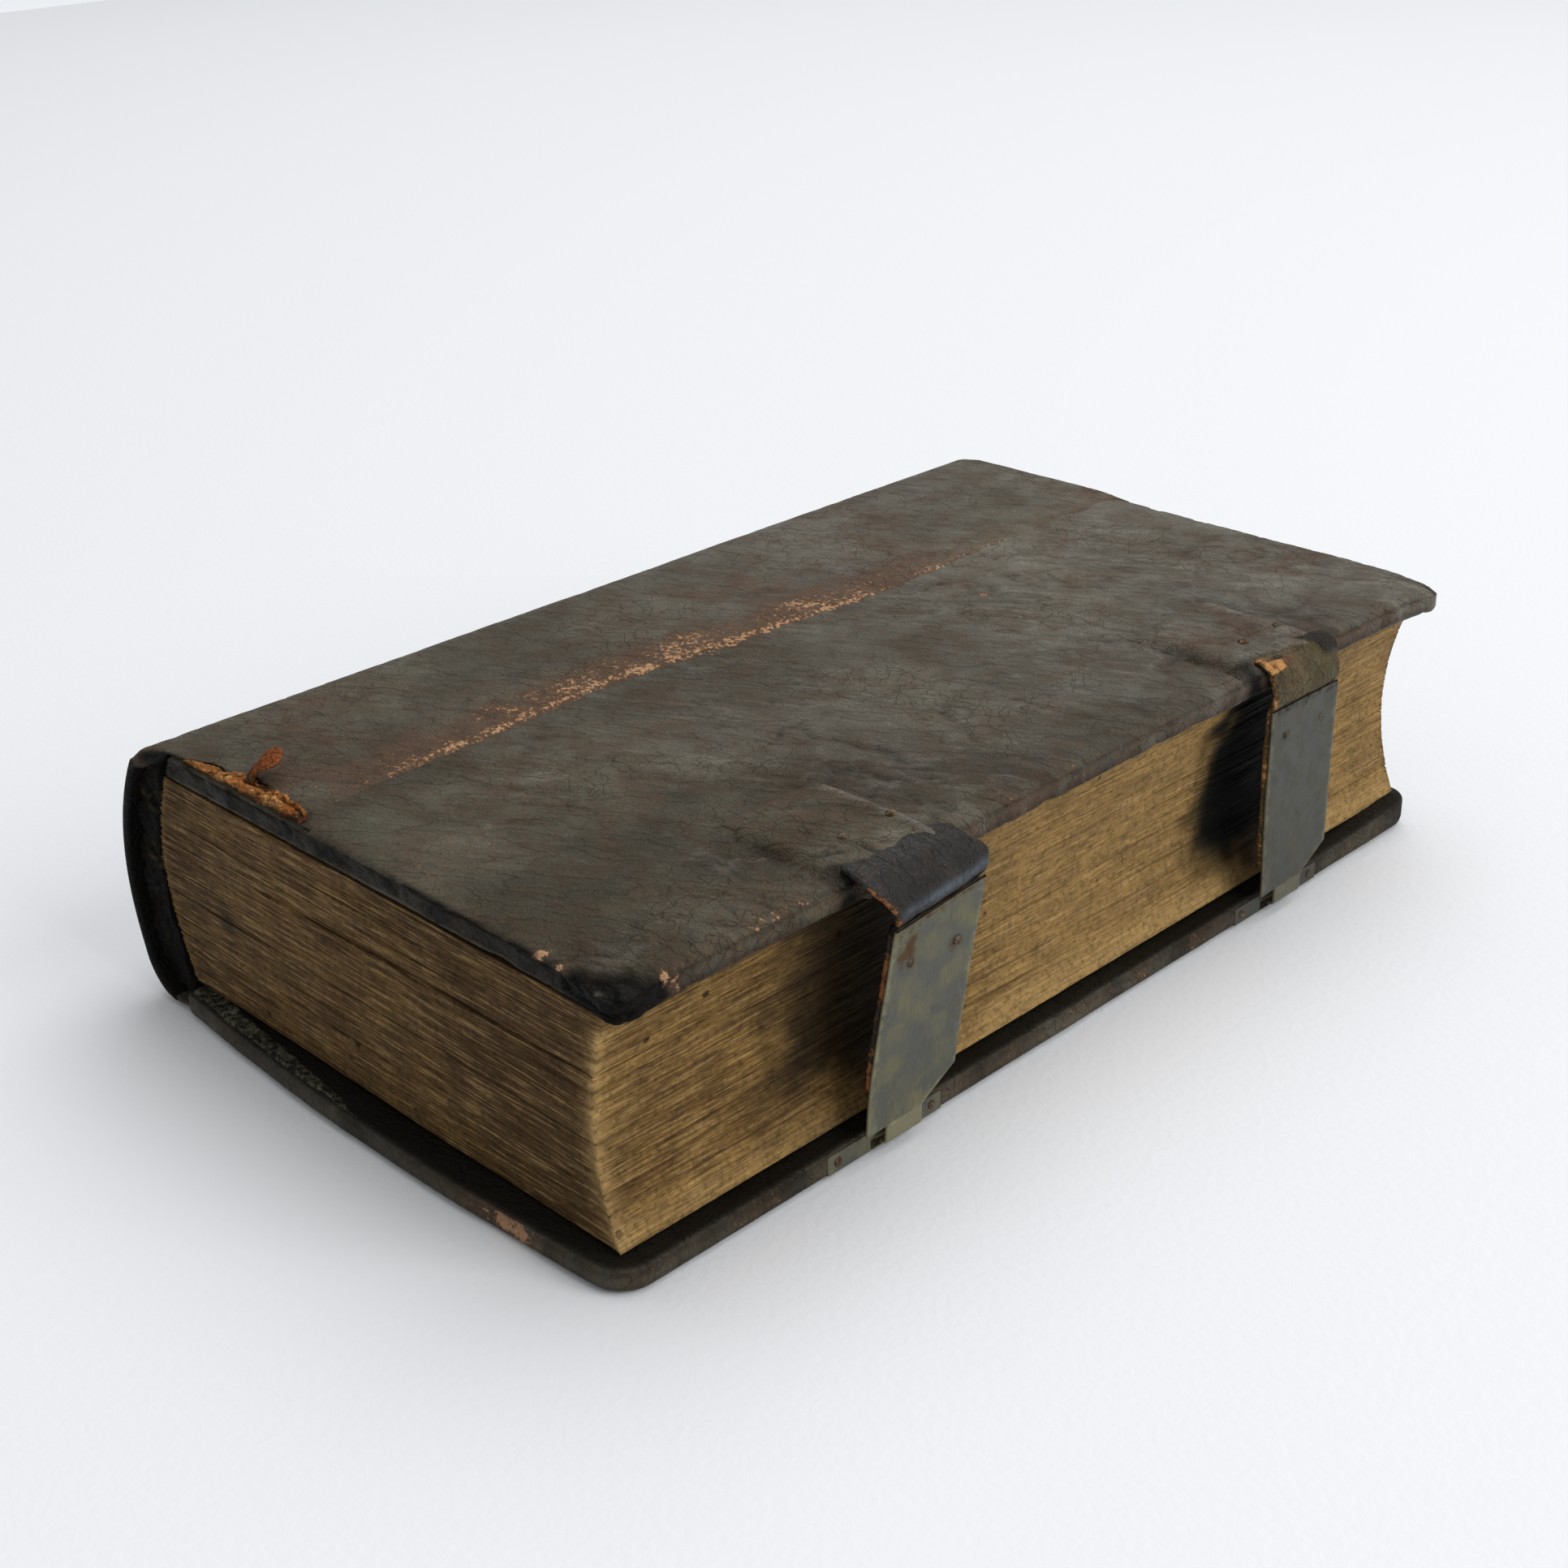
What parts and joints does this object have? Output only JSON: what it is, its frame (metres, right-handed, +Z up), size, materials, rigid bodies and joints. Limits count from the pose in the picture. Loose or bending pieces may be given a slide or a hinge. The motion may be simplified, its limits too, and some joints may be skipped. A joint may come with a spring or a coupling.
{
  "type": "clasped leather book",
  "caption": "Small old leather-bound book with round spine, hollow fore-edge and clasps on leather straps, lying closed on its back cover.",
  "frame": {"origin": "middle of the base of the whole book's box, on the surface it lies on", "axes": "+X from the spine to the fore-edge, +Y from the tail to the head, +Z up through the thickness"},
  "size_m": [0.0974, 0.154, 0.0388],
  "materials": {
    "cover_leather": "worn, soft sheen",
    "strap_leather": "worn",
    "torn_leather": "rough flesh side",
    "board": "bare",
    "leaves": "matt, browned",
    "lining": "rough, glued",
    "endpaper": "matt",
    "clasp_metal": "dull, tarnished",
    "iron": "dull"
  },
  "bodies": {
    "back_cover": {"back_board": "board", "back_leather": "cover_leather", "back_pastedown": "endpaper", "catch_plate_1": "clasp_metal", "catch_1_nail_a": "iron", "catch_1_nail_b": "iron", "catch_plate_2": "clasp_metal", "catch_2_nail_a": "iron", "catch_2_nail_b": "iron"},
    "text_block": {"text_block": "leaves", "spine_leather": "cover_leather", "spine_lining": "lining"},
    "front_cover": {"front_board": "board", "front_leather": "cover_leather", "front_pastedown": "endpaper", "front_overlay": "cover_leather", "torn_tongue": "torn_leather", "strap_1_anchor": "strap_leather", "strap_1_nail_a": "iron", "strap_1_nail_b": "iron", "strap_2_anchor": "strap_leather", "strap_2_nail_a": "iron", "strap_2_nail_b": "iron"},
    "clasp_1": {"strap_1": "strap_leather", "clasp_plate_1": "clasp_metal", "clasp_1_rivet_a": "iron", "clasp_1_rivet_b": "iron"},
    "clasp_2": {"strap_2": "strap_leather", "clasp_plate_2": "clasp_metal", "clasp_2_rivet_a": "iron", "clasp_2_rivet_b": "iron"}
  },
  "joints": [
    {"name": "rear_joint", "type": "hinge", "parent": "back_cover", "child": "text_block", "pos_m": [-0.03797, 0, 0], "axis": [0, -1, 0], "range_deg": [0, 175]},
    {"name": "front_joint", "type": "hinge", "parent": "text_block", "child": "front_cover", "pos_m": [-0.03797, 0, 0.0368], "axis": [0, -1, 0], "range_deg": [0, 175]},
    {"name": "clasp_1_fold", "type": "hinge", "parent": "front_cover", "child": "clasp_1", "pos_m": [0.04753, -0.0316, 0.0361], "axis": [0, -0.9986, 0.0523], "range_deg": [-1.3, 135]},
    {"name": "clasp_2_fold", "type": "hinge", "parent": "front_cover", "child": "clasp_2", "pos_m": [0.04753, 0.0423, 0.0361], "axis": [0, -0.9999, 0.0105], "range_deg": [-1.3, 135]}
  ]
}
